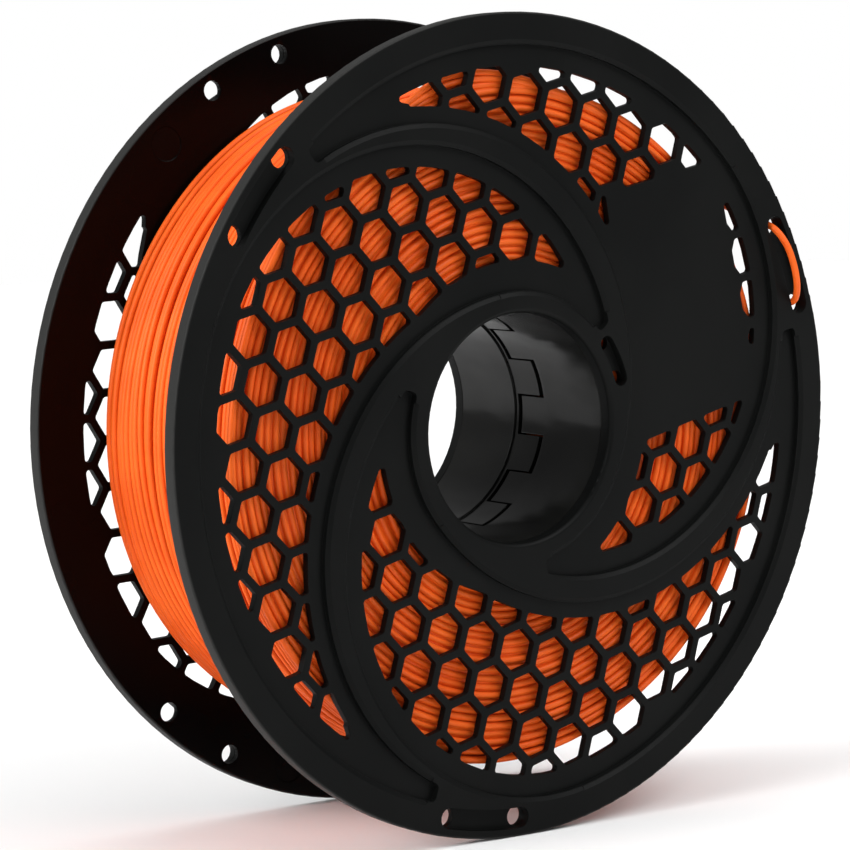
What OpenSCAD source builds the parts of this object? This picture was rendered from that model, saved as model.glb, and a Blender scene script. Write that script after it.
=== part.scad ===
// Spool of plastic filament for a 3D printer, standing on its two rims.
// The spool is two identical black mouldings, each a perforated flange with half of the hub,
// and their hubs lock together with interleaved fingers at mid-width.
// The Y axis is the spool's axis, +Z is up, and the origin is the middle of the bore.

/* [Overall] */
// Outside diameter of the flanges
flange_d = 200; // [198:0.5:204]
// Width over the two outer faces
spool_w = 63.5; // [62:0.5:70]
// Diameter of the bore
bore_d = 56; // [54:0.5:57]
// Outside diameter of the drum that carries the filament
drum_d = 63; // [62:0.5:64]

/* [Flange] */
// Thickness at the rim, the arms and the hub ring
flange_t = 3.85; // [3.4:0.05:4.4]
// Thickness of the perforated web between the arms
web_t = 2; // [1.6:0.1:2.4]
// Radial width of the plain band around the rim
rim_band = 7.7; // [7.4:0.1:8]
// Diameter of the raised ring around the bore
hub_ring_d = 66.6; // [66:0.2:68]
// Rounding of the rim's edges
rim_round = 0.5; // [0.3:0.1:0.8]
// Rounding of the bore's mouth
lip_round = 1.25; // [0.8:0.05:1.4]

/* [Arms] */
// Radius of each arm's inner edge
arm_inner_r = 60.4; // [59:0.2:61]
// Direction of the point where an arm's inner edge meets the rim
arm_inner_turn = 165.4; // [164:0.2:167]
// Direction of the point where an arm's outer edge meets the rim
arm_outer_turn = 158.9; // [157:0.1:160]
// Angle at which the recess between rim and arm stops
pocket_tip = 133.3; // [131:0.1:135]
// Angle at which the recess between hub ring and arm stops
pocket_heel = -77.5; // [-80:0.1:-75]
// Width of the slope along the recesses' edges
slope_w = 0.9; // [0.7:0.1:1]
// Depth of that slope
slope_h = 0.6; // [0.4:0.1:0.8]

/* [Honeycomb] */
// Distance between the centres of neighbouring openings
hex_pitch = 11.44; // [11:0.02:12]
// Size of a full opening across its flats
hex_flats = 9.5; // [8.8:0.1:9.8]
// Direction of a row of openings
hex_turn = -15.1; // [-18:0.1:-12]
// Corner rounding of the openings
hex_round = 0.8; // [0.5:0.1:1]
// Angle at which the honeycomb stops in each recess
hex_tip = 115.6; // [115:0.1:116]

// Angle from which the last opening of each recess runs on to a point
tip_from = 111.2; // [110.8:0.1:111.6]

/* [Hub] */
// Depth of the shallow relief in the bore at the finger joint
relief = 0.5; // [0.3:0.1:0.8]
// Distance from mid-width to the end of that relief
relief_end = 6.3; // [5.6:0.1:8]
// Distance that a finger reaches past mid-width
finger_reach = 3.75; // [3:0.25:4]
// Distance from mid-width to the floor between two fingers
finger_floor = 5.15; // [4.9:0.05:5.4]
// Angle of clearance at each side of a finger
finger_gap = 0.4; // [0.3:0.1:0.8]

/* [Filament] */
// Diameter of the filament
strand_d = 1.75; // [1.7:0.05:1.8]
// Diameter over the wound filament
wound_d = 163.8; // [120:0.2:164]
// Rounding of the winding's shoulders
shoulder = 1.5; // [1:0.1:2]

/* [Hidden] */
$fn = 96;
eps = 1;
black = [0.05, 0.05, 0.05];
orange = [0.98, 0.45, 0.09];

flange_r = flange_d / 2;
bore_r = bore_d / 2;
drum_r = drum_d / 2;
outer_z = spool_w / 2;
inner_z = outer_z - flange_t;
recess = flange_t - web_t;
rim_r = flange_r - rim_band;
ring_r = hub_ring_d / 2;

// The two halves are one shape: a half turn about this direction swaps them.
swap_turn = 9;
arms = 3;
arm_step = 360 / arms;

// An arm's inner edge is a circle that touches the rim band from inside.
arm_inner_c = rim_r - arm_inner_r;
// An arm's outer edge is a circle that touches both the rim band and the hub ring.
arm_outer_r = (rim_r + ring_r) / 2;
arm_outer_c = (rim_r - ring_r) / 2;
// The neighbouring arm's inner edge closes the other side of a recess.
next_turn = arm_inner_turn - arm_step;
leave_turn = arm_outer_turn - 180;
pocket_round = 1.2;
arc_steps = 56;
corner_steps = 3;

// A slope starts at a narrow ledge, and stops short of the recess's corners.
ledge = 0.25;
arm_ledge = 0.2;
slope_bite = 0.4;
slope_lap = 3;
slope_stop = 2.4;

// Plain margins around the honeycomb, inside each recess
rim_margin = 5.1;
inner_margin = 5.15;
outer_margin = 4;
hub_margin = 7.3;

// One opening's centre, from which the honeycomb repeats
hex_at = [41.2, 49.3];
hex_rows = 11;
// Openings centred farther out than this, or narrower than this, are left out.
hex_reach = 89.5;
hex_least = 1.65;

// Blank panel for a label, which takes the place of some openings
label_turn = 15;
label_corners = [[36, -15.9], [77.8, -15.9], [78.1, 45.6], [41, 47.3]];

// Channels that hold the filament's free end on the rim, each with a hole at both ends
clip_r = 95.4;
clip_turn = 23.2;
clip_half = 6.6;
clip_w = 5;
clip_depth = 2.2;
clip_hole_r = 2.4;

// The channel beside the hub ring, for the filament's first turn
start_r = 33;
start_turn = 27.6;
start_half = 8.6;
start_w = 3.8;
start_hole_r = 1.8;

// Faint round marks on the inner face, left by the mould's ejector pins
mark_r = 4.2;
mark_at = 93.1;
mark_turn = 5.3;
mark_depth = 0.12;

fingers = 9;
finger_step = 360 / fingers;
// Turned so that the other half's fingers fall midway between these
finger_turn = swap_turn - finger_step / 4;

wound_r = wound_d / 2;
wound_bore = drum_r + 0.3;
wound_gap = 0.3;

// The free end's route: off the winding, out through one hole, across the channel and back in.
lay_r = wound_r + strand_d / 2 + 0.1;
free_route = [
    lay_at(82, -26.3),
    lay_at(75, -26.3),
    lay_at(68, -26.3),
    lay_at(61, -26.3),
    lay_at(54, -26.3),
    lay_at(48, -26.3),
    [59.9, -26.3, 58.2],
    [64.4, -26.3, 55.2],
    [69.8, -26.3, 52.8],
    [75.4, -26.3, 51.0],
    [79.6, -26.3, 49.6],
    [81.1, -26.9, 48.7],
    [82.0, -28.2, 48.0],
    [82.4, -29.8, 47.5],
    [82.7, -31.6, 46.6],
    [83.4, -33.2, 44.9],
    [84.4, -34.6, 42.2],
    [85.3, -35.4, 39.1],
    [86.3, -35.6, 35.8],
    [87.3, -35.2, 32.7],
    [88.3, -34.1, 30.2],
    [89.2, -32.5, 28.5],
    [89.8, -30.5, 27.6],
    [90.2, -28.3, 27.3],
    [90.4, -25.6, 27.2],
    [90.2, -22.8, 27.2]
];
strand_sides = 8;

// Points on the winding's surface, by angle and position along the axis
function lay_at(a, y) = [lay_r * cos(a), y, lay_r * sin(a)];

// Distance from the spool's axis to a circle of radius r, whose centre is c away at angle turn
function reach(r, c, turn, a) =
    c * cos(a - turn) + sqrt(r * r - pow(c * sin(a - turn), 2));

function on_circle(r, a) = [r * cos(a), r * sin(a)];

// Outer and inner limits of a recess, or of its honeycomb when the gaps are not zero
function far_edge(a, rim_gap, arm_gap) =
    a > next_turn
        ? rim_r - rim_gap
        : min(rim_r - rim_gap, reach(arm_inner_r - arm_gap, arm_inner_c, next_turn, a));
function near_edge(a, ring_gap, arm_gap) =
    a < leave_turn
        ? ring_r + ring_gap
        : max(ring_r + ring_gap, reach(arm_outer_r + arm_gap, arm_outer_c, arm_outer_turn, a));

// The area of one recess that the honeycomb may fill
function honeycomb_limits() =
    let (
        step = (hex_tip - pocket_heel) / arc_steps,
        open = [
            for (k = [0 : arc_steps])
                let (a = pocket_heel + k * step)
                if (
                    far_edge(a, rim_margin, inner_margin) > near_edge(a, hub_margin, outer_margin)
                ) a
        ],
        last = len(open) - 1
    )
    concat(
        [for (a = open) on_circle(far_edge(a, rim_margin, inner_margin), a)],
        [
            for (i = [0 : last])
                on_circle(near_edge(open[last - i], hub_margin, outer_margin), open[last - i])
        ]
    );

function unit(v) = v / norm(v);

// Points of the arc that rounds corner c, whose sides leave in directions u and v
function corner_arc(c, u, v, half, r) =
    let (
        centre = c + unit(u + v) * r / sin(half),
        start = c + u * r / tan(half) - centre,
        end = c + v * r / tan(half) - centre,
        sweep = 180 - 2 * half
    )
    [
        for (k = [0 : corner_steps])
            let (t = k / corner_steps)
            centre + (sin((1 - t) * sweep) * start + sin(t * sweep) * end) / sin(sweep)
    ];

// A closed outline with its sharp corners rounded
function rounded(p, r) =
    [
        for (i = [0 : len(p) - 1])
            let (
                u = unit(p[(i + len(p) - 1) % len(p)] - p[i]),
                v = unit(p[(i + 1) % len(p)] - p[i]),
                half = acos(u * v) / 2
            )
            each half > 75 ? [p[i]] : corner_arc(p[i], u, v, half, r)
    ];

// The plan of a recess below its slopes
function recess_plan() =
    let (
        step = (pocket_tip - pocket_heel) / arc_steps,
        angles = [for (k = [0 : arc_steps]) pocket_heel + k * step]
    )
    rounded(
        concat(
            [for (a = angles) on_circle(far_edge(a, 0, 0), a)],
            [
                for (k = [0 : arc_steps])
                    let (a = angles[arc_steps - k])
                    on_circle(near_edge(a, 0, 0), a)
            ]
        ),
        pocket_round
    );

// A ring with one sloping side, which cuts the slope along an edge.
// The edge is a circle of radius r whose centre is c away at angle turn.
// grow is 1 where the recess lies inside that circle, and -1 where it lies outside.
module slope_ring(turn, c, r, grow, from, to) {
    foot = r + grow * (c > 0 ? arm_ledge : ledge);
    top = foot + grow * slope_w * (1 + eps / slope_h);
    near = r - grow * slope_bite;
    rotate(turn)
        translate([c, 0])
            rotate(from - turn)
                rotate_extrude(angle = to - from)
                    polygon([
                        [near, outer_z - slope_h],
                        [foot, outer_z - slope_h],
                        [top, outer_z + eps],
                        [near, outer_z + eps]
                    ]);
}

// Angle of a point as seen from a centre that is c away at angle turn
function seen_from(turn, c, p) =
    let (d = p - on_circle(c, turn))
    atan2(d[1], d[0]);

// Angle that an arc of length slope_stop takes up on a circle of radius r
function stop_angle(r) = slope_stop / r * 180 / PI;

// The slopes along the four edges of one recess
module slopes() {
    tip = on_circle(near_edge(pocket_tip, 0, 0), pocket_tip);
    heel = on_circle(far_edge(pocket_heel, 0, 0), pocket_heel);
    slope_ring(
        0, 0, rim_r, 1,
        next_turn - slope_lap, pocket_tip - stop_angle(rim_r)
    );
    slope_ring(
        next_turn, arm_inner_c, arm_inner_r, 1,
        seen_from(next_turn, arm_inner_c, heel) + stop_angle(arm_inner_r), next_turn + slope_lap
    );
    slope_ring(
        0, 0, ring_r, -1,
        pocket_heel + stop_angle(ring_r), leave_turn + slope_lap
    );
    slope_ring(
        arm_outer_turn, arm_outer_c, arm_outer_r, -1,
        leave_turn - slope_lap, seen_from(arm_outer_turn, arm_outer_c, tip) - stop_angle(arm_outer_r)
    );
}

// One recess: straight sides below, and sloping sides near the outer face
module recess_cut() {
    translate([0, 0, outer_z - recess])
        linear_extrude(recess + eps)
            polygon(recess_plan());
    slopes();
}

module honeycomb() {
    for (i = [-hex_rows : hex_rows], j = [-hex_rows : hex_rows]) {
        spot = hex_at
            + i * on_circle(hex_pitch, hex_turn)
            + j * on_circle(hex_pitch, hex_turn + 60);
        if (norm(spot) < hex_reach && norm(spot) > bore_r)
            translate(spot)
                rotate(hex_turn + 30)
                    circle(r = hex_flats / 2 / cos(30), $fn = 6);
    }
}

module label_panel() {
    rotate(label_turn)
        polygon(label_corners);
}

// The narrow end of a recess, where the last opening runs on to a point
module tip_opening() {
    polygon([
        on_circle(near_edge(tip_from, hub_margin, outer_margin), tip_from),
        on_circle(far_edge(tip_from, rim_margin, inner_margin), tip_from),
        on_circle(far_edge(hex_tip, rim_margin, inner_margin), hex_tip)
    ]);
}

// Every opening of one flange, with rounded corners and no slivers
module openings() {
    offset(r = hex_round, $fn = 12)
        offset(delta = hex_least / 2 - hex_round)
            offset(delta = -hex_least / 2)
                difference() {
                    for (k = [0 : arms - 1])
                        rotate(k * arm_step)
                            intersection() {
                                polygon(honeycomb_limits());
                                union() {
                                    honeycomb();
                                    tip_opening();
                                }
                            }
                    label_panel();
                }
}

// A curved slot, centred on the axis
module curved_slot(r, turn, half, w) {
    offset(r = w / 2, $fn = 16)
        polygon(concat(
            [for (s = [-1 : 0.25 : 1]) on_circle(r + 0.05, turn + s * half)],
            [for (s = [1 : -0.25 : -1]) on_circle(r - 0.05, turn + s * half)]
        ));
}

// A channel sunk into the outer face, with a hole through the flange at both ends
module thread_channel(r, turn, half, w, hole_r) {
    translate([0, 0, outer_z - clip_depth])
        linear_extrude(clip_depth + eps)
            curved_slot(r, turn, half, w);
    for (s = [-1, 1])
        rotate(turn + s * half)
            translate([r, 0, inner_z - eps])
                cylinder(r = hole_r, h = flange_t + 2 * eps, $fn = 48);
}

// What a rounded corner loses, for the corner at the origin that points to +X and +Y
module corner_loss(r) {
    difference() {
        translate([-r, -r])
            square(r + eps);
        translate([-r, -r])
            circle(r, $fn = 64);
    }
}

// The flange's solid disc in section, before anything is sunk into it
module disc_section() {
    difference() {
        translate([bore_r, inner_z])
            square([flange_r - bore_r, flange_t]);
        translate([flange_r, outer_z])
            corner_loss(rim_round);
        translate([flange_r, inner_z])
            mirror([0, 1])
                corner_loss(rim_round);
        translate([bore_r, outer_z])
            mirror([1, 0])
                corner_loss(lip_round);
    }
}

// One flange, with its outer face towards +Z
module flange() {
    difference() {
        // Turned to the direction that both halves share
        rotate(swap_turn)
            rotate_extrude()
                disc_section();
        for (k = [0 : arms - 1])
            rotate(k * arm_step)
                recess_cut();
        translate([0, 0, inner_z - eps])
            linear_extrude(flange_t + 2 * eps)
                openings();
        for (k = [0 : arms - 1])
            thread_channel(clip_r, clip_turn + k * arm_step, clip_half, clip_w, clip_hole_r);
        thread_channel(start_r, start_turn, start_half, start_w, start_hole_r);
        for (k = [0 : arms - 1])
            rotate(mark_turn + k * arm_step)
                translate([mark_at, 0, inner_z - eps])
                    cylinder(r = mark_r, h = mark_depth + eps, $fn = 48);
    }
}

// One hub half: a tube that ends in fingers, with its flange towards +Z
module hub() {
    half_gap = finger_step / 4 + finger_gap;
    difference() {
        rotate_extrude()
            polygon([
                [bore_r, relief_end],
                [bore_r, inner_z],
                [drum_r, inner_z],
                [drum_r, -finger_reach],
                [bore_r + relief, -finger_reach],
                [bore_r + relief, relief_end]
            ]);
        for (k = [0 : fingers - 1])
            rotate(finger_turn + (k + 0.5) * finger_step)
                translate([0, 0, -finger_reach - eps])
                    linear_extrude(finger_floor + finger_reach + eps)
                        polygon([
                            [0, 0],
                            on_circle(2 * drum_r, -half_gap),
                            on_circle(2 * drum_r, half_gap)
                        ]);
    }
}

// Lays the spool's axis along Y, with local +Z towards -Y
module lay_down() {
    rotate([90, 0, 0])
        children();
}

module swap_ends() {
    rotate(a = 180, v = [cos(swap_turn), sin(swap_turn), 0])
        children();
}

module front_flange() {
    color(black)
        lay_down()
            flange();
}

module front_hub() {
    color(black)
        lay_down()
            hub();
}

module rear_flange() {
    color(black)
        lay_down()
            swap_ends()
                flange();
}

module rear_hub() {
    color(black)
        lay_down()
            swap_ends()
                hub();
}

// The wound filament as one closed ring, from the front flange nearly to the rear one
module filament_winding() {
    color(orange)
        lay_down()
            rotate_extrude()
                difference() {
                    translate([wound_bore, -inner_z + wound_gap])
                        square([wound_r - wound_bore, 2 * inner_z - wound_gap]);
                    translate([wound_r, inner_z])
                        corner_loss(shoulder);
                    translate([wound_r, -inner_z + wound_gap])
                        mirror([0, 1])
                            corner_loss(shoulder);
                }
}

// Direction of travel at point i of a route
function heading(p, i) =
    unit(p[min(i + 1, len(p) - 1)] - p[max(i - 1, 0)]);

// A round tube along a route, as rings of points joined by flat sides
module tube_along(p, r, sides) {
    rings = [
        for (i = [0 : len(p) - 1])
            let (
                t = heading(p, i),
                u = unit(cross(t, [0, 1, 0.3])),
                v = cross(u, t)
            )
            for (s = [0 : sides - 1])
                p[i] + r * (cos(s * 360 / sides) * u + sin(s * 360 / sides) * v)
    ];
    last = (len(p) - 1) * sides;
    walls = [
        for (i = [0 : len(p) - 2], s = [0 : sides - 1])
            let (n = (s + 1) % sides)
            [i * sides + s, i * sides + n, (i + 1) * sides + n, (i + 1) * sides + s]
    ];
    ends = [
        [for (s = [sides - 1 : -1 : 0]) s],
        [for (s = [0 : sides - 1]) last + s]
    ];
    polyhedron(points = rings, faces = concat(walls, ends));
}

// The free end, from where it leaves the winding to its cut end
module filament_free_end() {
    color(orange)
        tube_along(free_route, strand_d / 2, strand_sides);
}

front_flange();
front_hub();
rear_flange();
rear_hub();
filament_winding();
filament_free_end();
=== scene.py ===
"""Spool of orange filament, standing on its two black flanges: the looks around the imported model.

The spool's axis is Y, +Z is up, and the origin is the middle of the bore. Lengths are in metres.
"""

import math

import bpy
import numpy as np
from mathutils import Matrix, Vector


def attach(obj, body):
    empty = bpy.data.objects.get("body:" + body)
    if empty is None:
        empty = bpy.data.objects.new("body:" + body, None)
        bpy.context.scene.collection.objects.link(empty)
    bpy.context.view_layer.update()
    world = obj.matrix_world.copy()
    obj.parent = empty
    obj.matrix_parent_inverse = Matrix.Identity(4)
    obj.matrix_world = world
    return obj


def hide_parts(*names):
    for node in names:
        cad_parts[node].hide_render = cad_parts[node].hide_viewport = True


MM = 0.001

# Sizes of the object, the same as in the CAD model
FLANGE_R = 100 * MM
INNER_FACE = 27.9 * MM
STRAND_R = 0.875 * MM
WOUND_R = 82.2 * MM
DRUM_R = 31.5 * MM
FRONT_END = -27.85 * MM
REAR_END = 27.55 * MM

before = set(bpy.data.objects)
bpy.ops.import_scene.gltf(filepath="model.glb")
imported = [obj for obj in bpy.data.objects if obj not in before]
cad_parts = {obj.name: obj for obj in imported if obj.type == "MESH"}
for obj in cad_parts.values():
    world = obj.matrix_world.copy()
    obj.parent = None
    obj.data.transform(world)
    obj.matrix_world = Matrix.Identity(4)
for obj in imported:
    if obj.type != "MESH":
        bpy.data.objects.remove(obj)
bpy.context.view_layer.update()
scene = bpy.context.scene


# ---------------------------------------------------------------- camera

def make_camera():
    """A long lens, turned 37 degrees to the left of the front flange and 5 degrees above it."""
    azimuth = math.radians(-37.127)
    elevation = math.radians(5.284)
    distance = 792.227 * MM
    target = Vector((-3.650, 2.594, -1.464)) * MM
    back = Vector((
        math.sin(azimuth) * math.cos(elevation),
        -math.cos(azimuth) * math.cos(elevation),
        math.sin(elevation),
    ))
    data = bpy.data.cameras.new("camera")
    data.lens = 134.46
    data.sensor_width = 36
    data.clip_start = 0.01
    data.clip_end = 20
    camera = bpy.data.objects.new("camera", data)
    camera.location = target + back * distance
    camera.rotation_mode = "QUATERNION"
    camera.rotation_quaternion = (-back).to_track_quat("-Z", "Y")
    scene.collection.objects.link(camera)
    scene.camera = camera


make_camera()


# ---------------------------------------------------------------- materials

class Nodes:
    """Short ways to add and join the nodes of one material."""

    def __init__(self, name):
        self.material = bpy.data.materials.new(name)
        self.material.use_nodes = True
        self.tree = self.material.node_tree
        self.shader = self.tree.nodes["Principled BSDF"]
        self.place = self.add("ShaderNodeTexCoord").outputs["Object"]

    def add(self, kind, **settings):
        node = self.tree.nodes.new(kind)
        for key, value in settings.items():
            setattr(node, key, value)
        return node

    def join(self, source, target):
        self.tree.links.new(source, target)

    def noise(self, scale, detail=2.0, stretch=None):
        """Noise at so many features a metre; stretch scales the position first."""
        node = self.add("ShaderNodeTexNoise")
        node.inputs["Scale"].default_value = scale
        node.inputs["Detail"].default_value = detail
        place = self.place
        if stretch:
            mapping = self.add("ShaderNodeMapping")
            mapping.inputs["Scale"].default_value = stretch
            self.join(place, mapping.inputs["Vector"])
            place = mapping.outputs["Vector"]
        self.join(place, node.inputs["Vector"])
        return node.outputs["Fac"]

    def span(self, value, low, high, to_low=0.0, to_high=1.0, smooth=False):
        """Maps value from one range to another, and holds it at the ends."""
        node = self.add("ShaderNodeMapRange")
        node.interpolation_type = "SMOOTHSTEP" if smooth else "LINEAR"
        node.inputs["From Min"].default_value = low
        node.inputs["From Max"].default_value = high
        node.inputs["To Min"].default_value = to_low
        node.inputs["To Max"].default_value = to_high
        self.join(value, node.inputs["Value"])
        return node.outputs["Result"]

    def math(self, operation, a, b=None):
        node = self.add("ShaderNodeMath", operation=operation)
        for socket, value in zip(node.inputs, (a, b)):
            if value is None:
                continue
            if isinstance(value, (int, float)):
                socket.default_value = value
            else:
                self.join(value, socket)
        return node.outputs["Value"]

    def mix_colour(self, amount, low, high):
        node = self.add("ShaderNodeMix", data_type="RGBA")
        self.join(amount, node.inputs["Factor"])
        for socket, value in ((node.inputs[6], low), (node.inputs[7], high)):
            if isinstance(value, tuple):
                socket.default_value = (*value, 1)
            else:
                self.join(value, socket)
        return node.outputs[2]

    def bump(self, height, distance, strength):
        """Relief whose highest point stands distance above its lowest."""
        node = self.add("ShaderNodeBump")
        node.inputs["Distance"].default_value = distance
        node.inputs["Strength"].default_value = strength
        self.join(height, node.inputs["Height"])
        return node.outputs["Normal"]


def black_flange():
    """Moulded black plastic: a fine matte grain outside, and smooth between the flanges."""
    n = Nodes("black_flange")
    split = n.add("ShaderNodeSeparateXYZ")
    n.join(n.place, split.inputs["Vector"])
    off_middle = n.math("ABSOLUTE", split.outputs["Y"])
    grained = n.span(off_middle, INNER_FACE + 0.1 * MM, INNER_FACE + 0.4 * MM)
    patches = n.noise(28, 3)
    grain = n.noise(3200, 1)
    tone = n.mix_colour(
        n.span(patches, 0.35, 0.65, smooth=True), (0.0033, 0.0036, 0.0035), (0.0048, 0.0051, 0.0049)
    )
    tone = n.mix_colour(grained, (0.0014, 0.0010, 0.0009), tone)
    # Painted highlight: the rim's edge is painted paler, standing in for the light it catches from the
    # left
    across_y = n.math("MULTIPLY", off_middle, off_middle)
    from_middle = n.add("ShaderNodeVectorMath", operation="DOT_PRODUCT")
    n.join(n.place, from_middle.inputs[0])
    n.join(n.place, from_middle.inputs[1])
    from_axis = n.math("SQRT", n.math("SUBTRACT", from_middle.outputs["Value"], across_y))
    painted_rim_highlight = n.span(from_axis, 0.994 * FLANGE_R, 0.998 * FLANGE_R)
    tone = n.mix_colour(painted_rim_highlight, tone, (0.021, 0.021, 0.0203))
    n.join(tone, n.shader.inputs["Base Color"])
    rough_grain = n.span(grain, 0.3, 0.7, 0.4, 0.5)
    rough_smooth = n.span(patches, 0.3, 0.7, 0.2, 0.3)
    rough = n.add("ShaderNodeMix", data_type="FLOAT")
    n.join(grained, rough.inputs["Factor"])
    n.join(rough_smooth, rough.inputs[2])
    n.join(rough_grain, rough.inputs[3])
    n.join(rough.outputs[0], n.shader.inputs["Roughness"])
    n.shader.inputs["Specular IOR Level"].default_value = 0.065
    depth = n.math("MULTIPLY", grain, grained)
    n.join(n.bump(depth, 0.02 * MM, 0.5), n.shader.inputs["Normal"])
    return n.material


def black_hub():
    """The same plastic off a polished core, so the bore is glossy."""
    n = Nodes("black_hub")
    swirl = n.noise(60, 3, (1, 0.35, 1))
    tone = n.mix_colour(
        n.span(swirl, 0.35, 0.65, smooth=True), (0.004, 0.004, 0.0037), (0.007, 0.0072, 0.0064)
    )
    n.join(tone, n.shader.inputs["Base Color"])
    n.join(n.span(swirl, 0.3, 0.7, 0.16, 0.26), n.shader.inputs["Roughness"])
    n.shader.inputs["Specular IOR Level"].default_value = 0.2
    n.join(n.bump(n.noise(70, 2, (1, 0.5, 1)), 1.0 * MM, 0.6), n.shader.inputs["Normal"])
    return n.material


def orange_strand():
    """Extruded plastic, satin, with slight changes of tone from turn to turn."""
    n = Nodes("orange_strand")
    along = n.noise(45, 3)
    fine = n.noise(700, 2)
    tone = n.mix_colour(
        n.span(along, 0.35, 0.65, smooth=True), (0.74, 0.094, 0.008), (0.84, 0.126, 0.013)
    )
    n.join(tone, n.shader.inputs["Base Color"])
    n.join(n.span(fine, 0.3, 0.7, 0.36, 0.46), n.shader.inputs["Roughness"])
    n.shader.inputs["Subsurface Weight"].default_value = 0.05
    n.shader.inputs["Subsurface Radius"].default_value = (1.0, 0.3, 0.08)
    n.shader.inputs["Subsurface Scale"].default_value = 0.8 * MM
    n.shader.inputs["Specular IOR Level"].default_value = 0.16
    n.join(n.bump(fine, 0.02 * MM, 0.4), n.shader.inputs["Normal"])
    return n.material


def pale_floor():
    """A matt, almost white floor."""
    n = Nodes("pale_floor")
    tone = n.mix_colour(n.noise(3), (0.86, 0.86, 0.86), (0.88, 0.88, 0.88))
    n.join(tone, n.shader.inputs["Base Color"])
    n.shader.inputs["Roughness"].default_value = 0.9
    n.shader.inputs["Specular IOR Level"].default_value = 0.1
    return n.material


flange_material = black_flange()
hub_material = black_hub()
strand_material = orange_strand()


# ---------------------------------------------------------------- the mouldings

def smooth_by_angle(degrees):
    """A node group that shades smooth wherever two faces meet at less than the angle."""
    name = f"smooth_under_{degrees}"
    if name in bpy.data.node_groups:
        return bpy.data.node_groups[name]
    group = bpy.data.node_groups.new(name, "GeometryNodeTree")
    group.interface.new_socket("Geometry", in_out="INPUT", socket_type="NodeSocketGeometry")
    group.interface.new_socket("Geometry", in_out="OUTPUT", socket_type="NodeSocketGeometry")
    start = group.nodes.new("NodeGroupInput")
    end = group.nodes.new("NodeGroupOutput")
    faces = group.nodes.new("GeometryNodeSetShadeSmooth")
    faces.domain = "FACE"
    edges = group.nodes.new("GeometryNodeSetShadeSmooth")
    edges.domain = "EDGE"
    angle = group.nodes.new("GeometryNodeInputMeshEdgeAngle")
    small = group.nodes.new("FunctionNodeCompare")
    small.operation = "LESS_THAN"
    small.inputs[1].default_value = math.radians(degrees)
    group.links.new(start.outputs[0], faces.inputs["Geometry"])
    group.links.new(faces.outputs["Geometry"], edges.inputs["Geometry"])
    group.links.new(angle.outputs["Unsigned Angle"], small.inputs[0])
    group.links.new(small.outputs[0], edges.inputs["Shade Smooth"])
    group.links.new(edges.outputs["Geometry"], end.inputs[0])
    return group


def finish_moulding(node, material):
    """Gives a CAD node its material, softened edges and clean shading."""
    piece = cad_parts[node]
    piece.data.materials.clear()
    piece.data.materials.append(material)
    weld = piece.modifiers.new("weld", "WELD")
    weld.merge_threshold = 0.002 * MM
    bevel = piece.modifiers.new("edges", "BEVEL")
    bevel.width = 0.14 * MM
    bevel.segments = 2
    bevel.limit_method = "ANGLE"
    bevel.angle_limit = math.radians(50)
    bevel.use_clamp_overlap = False
    bevel.loop_slide = False
    shade = piece.modifiers.new("shade", "NODES")
    shade.node_group = smooth_by_angle(26)
    normals = piece.modifiers.new("normals", "WEIGHTED_NORMAL")
    normals.keep_sharp = True


finish_moulding("front_flange", flange_material)
finish_moulding("rear_flange", flange_material)
finish_moulding("front_hub", hub_material)
finish_moulding("rear_hub", hub_material)


# ---------------------------------------------------------------- the filament

class MeshParts:
    """Collects tubes and rings, and turns them into one object."""

    def __init__(self):
        self.points = []
        self.quads = []
        self.caps = []
        self.count = 0

    def add_tube(self, path, radius, sides, closed):
        """A round tube along a path of points; an open one gets an end cap at each end."""
        path = np.asarray(path, float)
        n = len(path)
        if closed:
            ahead = np.roll(path, -1, 0) - np.roll(path, 1, 0)
        else:
            ahead = np.gradient(path, axis=0)
        ahead /= np.linalg.norm(ahead, axis=1)[:, None]
        # Every path here runs round the Y axis, so this keeps the rings from twisting.
        side = np.cross(ahead, np.array([0.0, 1.0, 0.25]))
        side /= np.linalg.norm(side, axis=1)[:, None]
        up = np.cross(side, ahead)
        turn = np.arange(sides) * 2 * math.pi / sides
        ring = (
            side[:, None, :] * np.cos(turn)[None, :, None]
            + up[:, None, :] * np.sin(turn)[None, :, None]
        )
        points = path[:, None, :] + radius * ring
        base = self.count
        index = base + np.arange(n * sides).reshape(n, sides)
        last = n if closed else n - 1
        i = np.arange(last)
        j = (i + 1) % n
        a = index[i]
        b = index[j]
        quads = np.stack([a, b, np.roll(b, -1, 1), np.roll(a, -1, 1)], -1).reshape(-1, 4)
        self.points.append(points.reshape(-1, 3))
        self.quads.append(quads)
        self.count += n * sides
        if not closed:
            self.caps.append(index[0].tolist())
            self.caps.append(index[-1][::-1].tolist())

    def add_lathe(self, section, steps):
        """A closed ring turned round the Y axis from (radius, y) points."""
        section = np.asarray(section, float)
        angles = np.arange(steps) * 2 * math.pi / steps
        points = np.stack([
            np.cos(angles)[:, None] * section[None, :, 0],
            np.broadcast_to(section[None, :, 1], (steps, len(section))),
            np.sin(angles)[:, None] * section[None, :, 0],
        ], -1)
        index = self.count + np.arange(steps * len(section)).reshape(steps, -1)
        a = index
        b = np.roll(index, -1, 0)
        quads = np.stack([a, np.roll(a, -1, 1), np.roll(b, -1, 1), b], -1).reshape(-1, 4)
        self.points.append(points.reshape(-1, 3))
        self.quads.append(quads)
        self.count += steps * len(section)

    def make(self, name, material):
        """One object of everything collected so far."""
        mesh = bpy.data.meshes.new(name)
        faces = np.concatenate(self.quads).tolist() + self.caps
        mesh.from_pydata(np.concatenate(self.points).tolist(), [], faces)
        mesh.polygons.foreach_set("use_smooth", [True] * len(mesh.polygons))
        mesh.materials.append(material)
        mesh.validate()
        mesh.update()
        piece = bpy.data.objects.new(name, mesh)
        scene.collection.objects.link(piece)
        return piece


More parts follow.
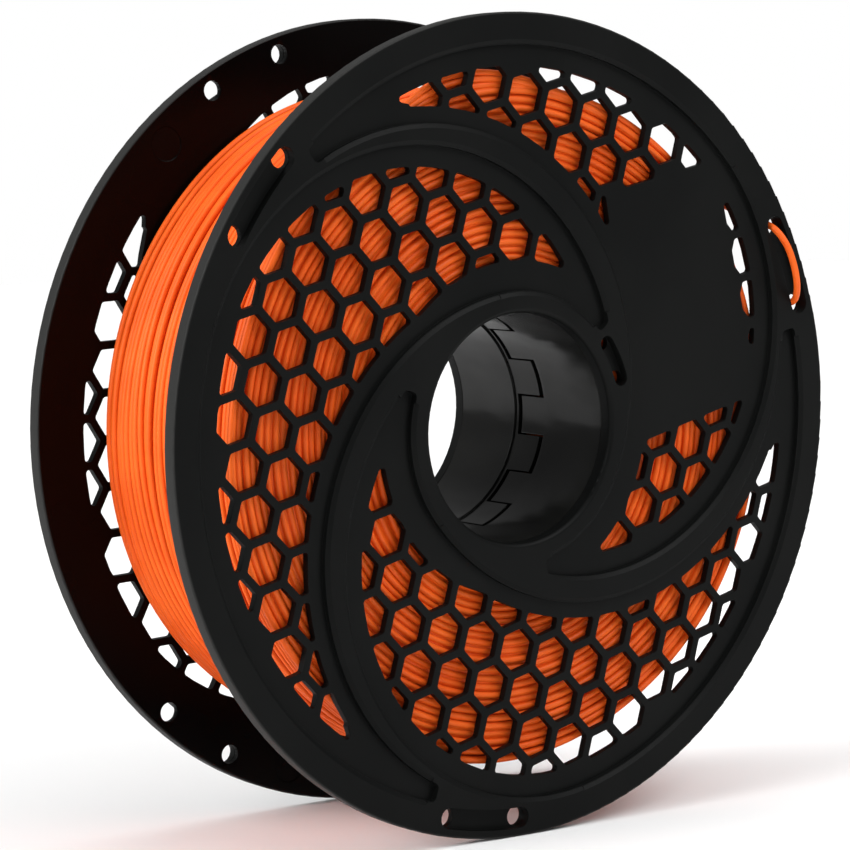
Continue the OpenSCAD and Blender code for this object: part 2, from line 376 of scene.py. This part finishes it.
class Drift:
    """A smooth random wander over the winding's surface, the same on each run."""

    def __init__(self, seed, waves, around, across):
        rng = np.random.default_rng(seed)
        self.m = rng.integers(1, around + 1, waves)
        self.n = rng.uniform(-across, across, waves)
        self.phase = rng.uniform(0, 2 * math.pi, waves)
        self.size = rng.uniform(0.5, 1, waves)
        self.size /= np.sqrt((self.size ** 2).sum() / 2)

    def at(self, angle, place):
        """angle in radians, place in metres; the result is about -2 to 2"""
        total = 0
        for m, n, phase, size in zip(self.m, self.n, self.phase, self.size):
            total = total + size * np.sin(m * angle + n * place + phase)
        return total


def round_axis(radius, angle, y):
    """Points at the given distances from the spool's axis, angles about it and places along it."""
    return np.stack([radius * np.cos(angle), y + 0 * angle, radius * np.sin(angle)], -1)


# Points along one turn, and sides of a strand
STEPS = 160
SIDES = 10
# Distances between neighbouring turns: in a layer, from layer to layer, and at the winding's ends
TURN_GAP = 1.98 * MM
LAYER_GAP = 1.52 * MM
END_GAP = 1.98 * MM
# The outermost turns, on average
TOP_LAYER = WOUND_R - STRAND_R - 0.2 * MM

# How far the winding's surface swells in and out, and how deep below it that fades away
BULGE = 0.3 * MM
BULGE_DEPTH = 15 * MM

surface_bulge = Drift(5, 9, 7, 60)


def bulge(radius, angle, y):
    """How far the winding swells out at a place."""
    share = np.clip((radius - (TOP_LAYER - BULGE_DEPTH)) / BULGE_DEPTH, 0, 1)
    return share * BULGE * surface_bulge.at(angle, y)


def wander(rng, angle, knots_per_turn):
    """A random value that changes smoothly along a strand, different for each turn."""
    last = int(angle[-1] / (2 * math.pi) * knots_per_turn) + 2
    knots = rng.normal(0, 1, last + 1)
    place = angle / (2 * math.pi) * knots_per_turn
    i = place.astype(int)
    t = place - i
    t = t * t * (3 - 2 * t)
    return np.clip(knots[i] * (1 - t) + knots[np.minimum(i + 1, last)] * t, -1.8, 1.8)


def add_layer(parts, radius, shift, seed, sideways, lift):
    """One wound layer as a single helix from the front flange to the rear one."""
    low = FRONT_END + STRAND_R + shift
    high = REAR_END - STRAND_R
    turns = int((high - low) / TURN_GAP)
    angle = np.linspace(0, 2 * math.pi * turns, turns * STEPS + 1)
    y = low + (high - low) * angle / angle[-1]
    rng = np.random.default_rng(seed)
    slow = Drift(seed, 9, 3, 500)
    fade = np.clip(np.minimum(y - low, high - y) / (3 * MM), 0, 1)
    y = y + fade * (sideways * slow.at(angle, y) + 0.6 * sideways * wander(rng, angle, 2.3))
    r = radius + bulge(radius, angle, y) + lift * wander(rng, angle, 2.7)
    parts.add_tube(round_axis(r, angle, y), STRAND_R, SIDES, closed=False)


def add_end_turns(parts, end, inward, seed):
    """The turns that show at one end of the winding, from its surface down to the drum."""
    rng = np.random.default_rng(seed)
    count = int((TOP_LAYER - DRUM_R - STRAND_R) / END_GAP)
    angle = np.arange(STEPS) * 2 * math.pi / STEPS
    slide = Drift(seed, 8, 3, 450)
    sink = Drift(seed + 1, 10, 4, 900)
    for i in range(count):
        radius = TOP_LAYER - 0.1 * MM - i * END_GAP
        shift = 0.3 * MM * slide.at(angle, radius) * min(i / 4, 1)
        r = radius + bulge(radius, angle, end) + shift
        sunk = 0.3 * MM * (1 + 0.6 * sink.at(angle, radius))
        depth = sunk + rng.uniform(0, 0.2) * MM + (i % 2) * 0.35 * MM
        y = end + inward * (STRAND_R + np.clip(depth, 0.02 * MM, 1.2 * MM))
        parts.add_tube(round_axis(r, angle, y), STRAND_R, SIDES, closed=True)


def add_heap(parts):
    """A few turns that have piled up against the front flange, near the top."""
    turns = 3
    height = 5.2 * MM
    # Where the pile is highest, and how it fades to either side, in degrees
    middle = 103
    right_width = 19
    left_width = 11
    angle = np.arange(STEPS) * 2 * math.pi / STEPS
    off = np.degrees(angle) - middle
    pile = height * np.exp(-(off / np.where(off < 0, right_width, left_width)) ** 2)
    for k in range(1, turns + 1):
        r = TOP_LAYER + bulge(TOP_LAYER, angle, FRONT_END) + pile * k / turns
        y = FRONT_END + STRAND_R * (1.15 + 0.4 * (k % 2))
        parts.add_tube(round_axis(r, angle, y), STRAND_R, SIDES, closed=True)


def make_winding():
    """Two wound layers, the turns that show at both ends, and a plain core below them."""
    parts = MeshParts()
    add_layer(parts, TOP_LAYER, 0, 11, 0.46 * MM, 0.3 * MM)
    add_layer(parts, TOP_LAYER - LAYER_GAP, STRAND_R, 31, 0.3 * MM, 0.2 * MM)
    add_end_turns(parts, FRONT_END, 1, 51)
    add_end_turns(parts, REAR_END, -1, 71)
    add_heap(parts)
    # What lies below the turns that show
    inner = DRUM_R + 0.35 * MM
    outer = TOP_LAYER - 1.6 * MM
    near = FRONT_END + 1.5 * MM
    far = REAR_END - 1.5 * MM
    core = [(inner, near), (outer, near), (outer, far), (inner, far)]
    parts.add_lathe(core, 240)
    winding = parts.make("wound_turns", strand_material)
    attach(winding, "front_half")
    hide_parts("filament_winding")


# The free end's route, as in the CAD model: first the angles at which it lies on the winding,
# and then points in millimetres
FREE_START = [82, 75, 68, 61, 54, 48]
FREE_ROUTE = [
    (59.9, -26.3, 58.2), (64.4, -26.3, 55.2), (69.8, -26.3, 52.8), (75.4, -26.3, 51.0),
    (79.6, -26.3, 49.6), (81.1, -26.9, 48.7), (82.0, -28.2, 48.0), (82.4, -29.8, 47.5),
    (82.7, -31.6, 46.6), (83.4, -33.2, 44.9),
    (84.4, -34.6, 42.2), (85.3, -35.4, 39.1), (86.3, -35.6, 35.8), (87.3, -35.2, 32.7),
    (88.3, -34.1, 30.2), (89.2, -32.5, 28.5), (89.8, -30.5, 27.6), (90.2, -28.3, 27.3),
    (90.4, -25.6, 27.2), (90.2, -22.8, 27.2),
]


def through(points, steps):
    """A smooth curve through the points, with so many steps between each pair."""
    p = np.array(points, float)
    p = np.vstack([2 * p[0] - p[1], p, 2 * p[-1] - p[-2]])
    t = np.linspace(0, 1, steps, endpoint=False)[:, None]
    curve = []
    for a, b, c, d in zip(p, p[1:], p[2:], p[3:]):
        curve.append(0.5 * (
            2 * b + (c - a) * t + (2 * a - 5 * b + 4 * c - d) * t ** 2 + (3 * b - a - 3 * c + d) * t ** 3
        ))
    curve.append(p[-2][None])
    return np.concatenate(curve)


def make_free_end():
    """The strand's last stretch: off the winding, out through one clip hole and in at the next."""
    lay_r = WOUND_R / MM + 0.2
    lay_y = FREE_ROUTE[0][1]
    start = [
        (lay_r * math.cos(math.radians(a)), lay_y, lay_r * math.sin(math.radians(a)))
        for a in FREE_START
    ]
    parts = MeshParts()
    parts.add_tube(through(start + FREE_ROUTE, 8) * MM, STRAND_R, 16, closed=False)
    piece = parts.make("free_end", strand_material)
    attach(piece, "front_half")
    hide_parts("filament_free_end")


make_winding()
make_free_end()


# ---------------------------------------------------------------- floor and light

def make_floor():
    """A wide floor just under the spool."""
    half = 2.5
    mesh = bpy.data.meshes.new("floor")
    z = -FLANGE_R - 0.05 * MM
    corners = [(-half, -half, z), (half, -half, z), (half, half, z), (-half, half, z)]
    mesh.from_pydata(corners, [], [(0, 1, 2, 3)])
    mesh.materials.append(pale_floor())
    floor = bpy.data.objects.new("floor", mesh)
    scene.collection.objects.link(floor)


def add_sun(name, towards, strength, spread):
    """A distant soft light; towards points from the spool to it, spread is its width in degrees."""
    data = bpy.data.lights.new(name, "SUN")
    data.energy = strength
    data.angle = math.radians(spread)
    light = bpy.data.objects.new(name, data)
    light.rotation_mode = "QUATERNION"
    light.rotation_quaternion = (-Vector(towards)).to_track_quat("-Z", "Y")
    scene.collection.objects.link(light)


def add_softbox(name, place, side, watts):
    """A square light, side metres across, that faces the spool."""
    data = bpy.data.lights.new(name, "AREA")
    data.shape = "SQUARE"
    data.size = side
    data.energy = watts
    light = bpy.data.objects.new(name, data)
    light.location = place
    light.rotation_mode = "QUATERNION"
    light.rotation_quaternion = (-Vector(place)).to_track_quat("-Z", "Y")
    scene.collection.objects.link(light)


def make_light():
    """A white backdrop, a dimmer room all round, and broad lights from the left and above."""
    world = bpy.data.worlds.new("studio")
    world.use_nodes = True
    tree = world.node_tree
    room = tree.nodes["Background"]
    room.inputs["Color"].default_value = (1, 1, 1, 1)
    room.inputs["Strength"].default_value = 0.3
    backdrop = tree.nodes.new("ShaderNodeBackground")
    backdrop.inputs["Color"].default_value = (1, 1, 1, 1)
    backdrop.inputs["Strength"].default_value = 1.0
    ray = tree.nodes.new("ShaderNodeLightPath")
    mix = tree.nodes.new("ShaderNodeMixShader")
    tree.links.new(ray.outputs["Is Camera Ray"], mix.inputs[0])
    tree.links.new(room.outputs[0], mix.inputs[1])
    tree.links.new(backdrop.outputs[0], mix.inputs[2])
    tree.links.new(mix.outputs[0], tree.nodes["World Output"].inputs["Surface"])
    scene.world = world
    add_sun("key", (-0.88, 0.12, 0.42), 3.8, 55)
    add_sun("top", (0.1, -0.1, 1.0), 1.4, 70)
    add_softbox("front", (0.3, -0.6, 0.62), 0.5, 4.3)


make_floor()
make_light()
scene.view_settings.view_transform = "Standard"
